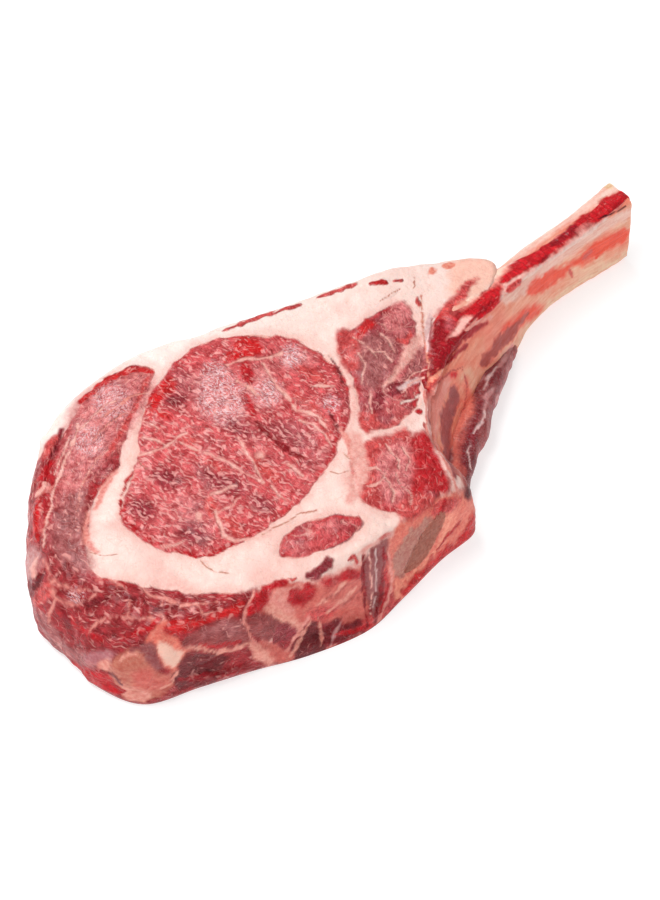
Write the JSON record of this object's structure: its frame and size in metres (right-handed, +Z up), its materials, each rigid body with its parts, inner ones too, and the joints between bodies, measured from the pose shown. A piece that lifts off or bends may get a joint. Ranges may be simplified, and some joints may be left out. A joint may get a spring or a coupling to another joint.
{
  "type": "raw bone-in beef rib steak",
  "caption": "Thick raw beef rib steak lying on its cut face, with marbled muscles parted by white fat and one long rib bone standing out at the side.",
  "frame": {"origin": "middle of the whole steak's box in X and Y, on the flat underside that it lies on", "axes": "+X along the rib bone towards its sawn tip, +Z up from the lower cut face to the upper one, so that +Y points to the fat edge behind the eye muscle"},
  "size_m": [0.3375, 0.1604, 0.0434],
  "materials": {
    "eye_meat": "bright red lean, thick white marbling, moist satin sheen",
    "cap_meat": "darker red lean with a net of thin fat lines, moist satin sheen",
    "side_meat": "pink to red lean crazed with thin fat lines, moist satin sheen",
    "wall_meat": "red to orange lean under silver skin, moist sheen",
    "strip_meat": "deep crimson lean in strips between white membranes, glossy",
    "flank_meat": "dark dried lean with pale membrane, satin",
    "fat": "creamy white to pink raw fat, waxy satin sheen",
    "rib": "scraped rib bone under a thin pink and orange membrane, moist",
    "cut_bone": "sawn porous bone, grey brown, matt"
  },
  "bodies": {
    "root": {"eye_muscle": "eye_meat", "cap_muscle": "cap_meat", "rib_side_muscle": "side_meat", "chine_side_muscle": "side_meat", "inner_muscle": "side_meat", "lower_muscle": "wall_meat", "seam_fat": "fat", "rib_bone": "rib", "finger_meat": "strip_meat", "flank_meat": "flank_meat", "chine_bone": "cut_bone"}
  },
  "joints": []
}
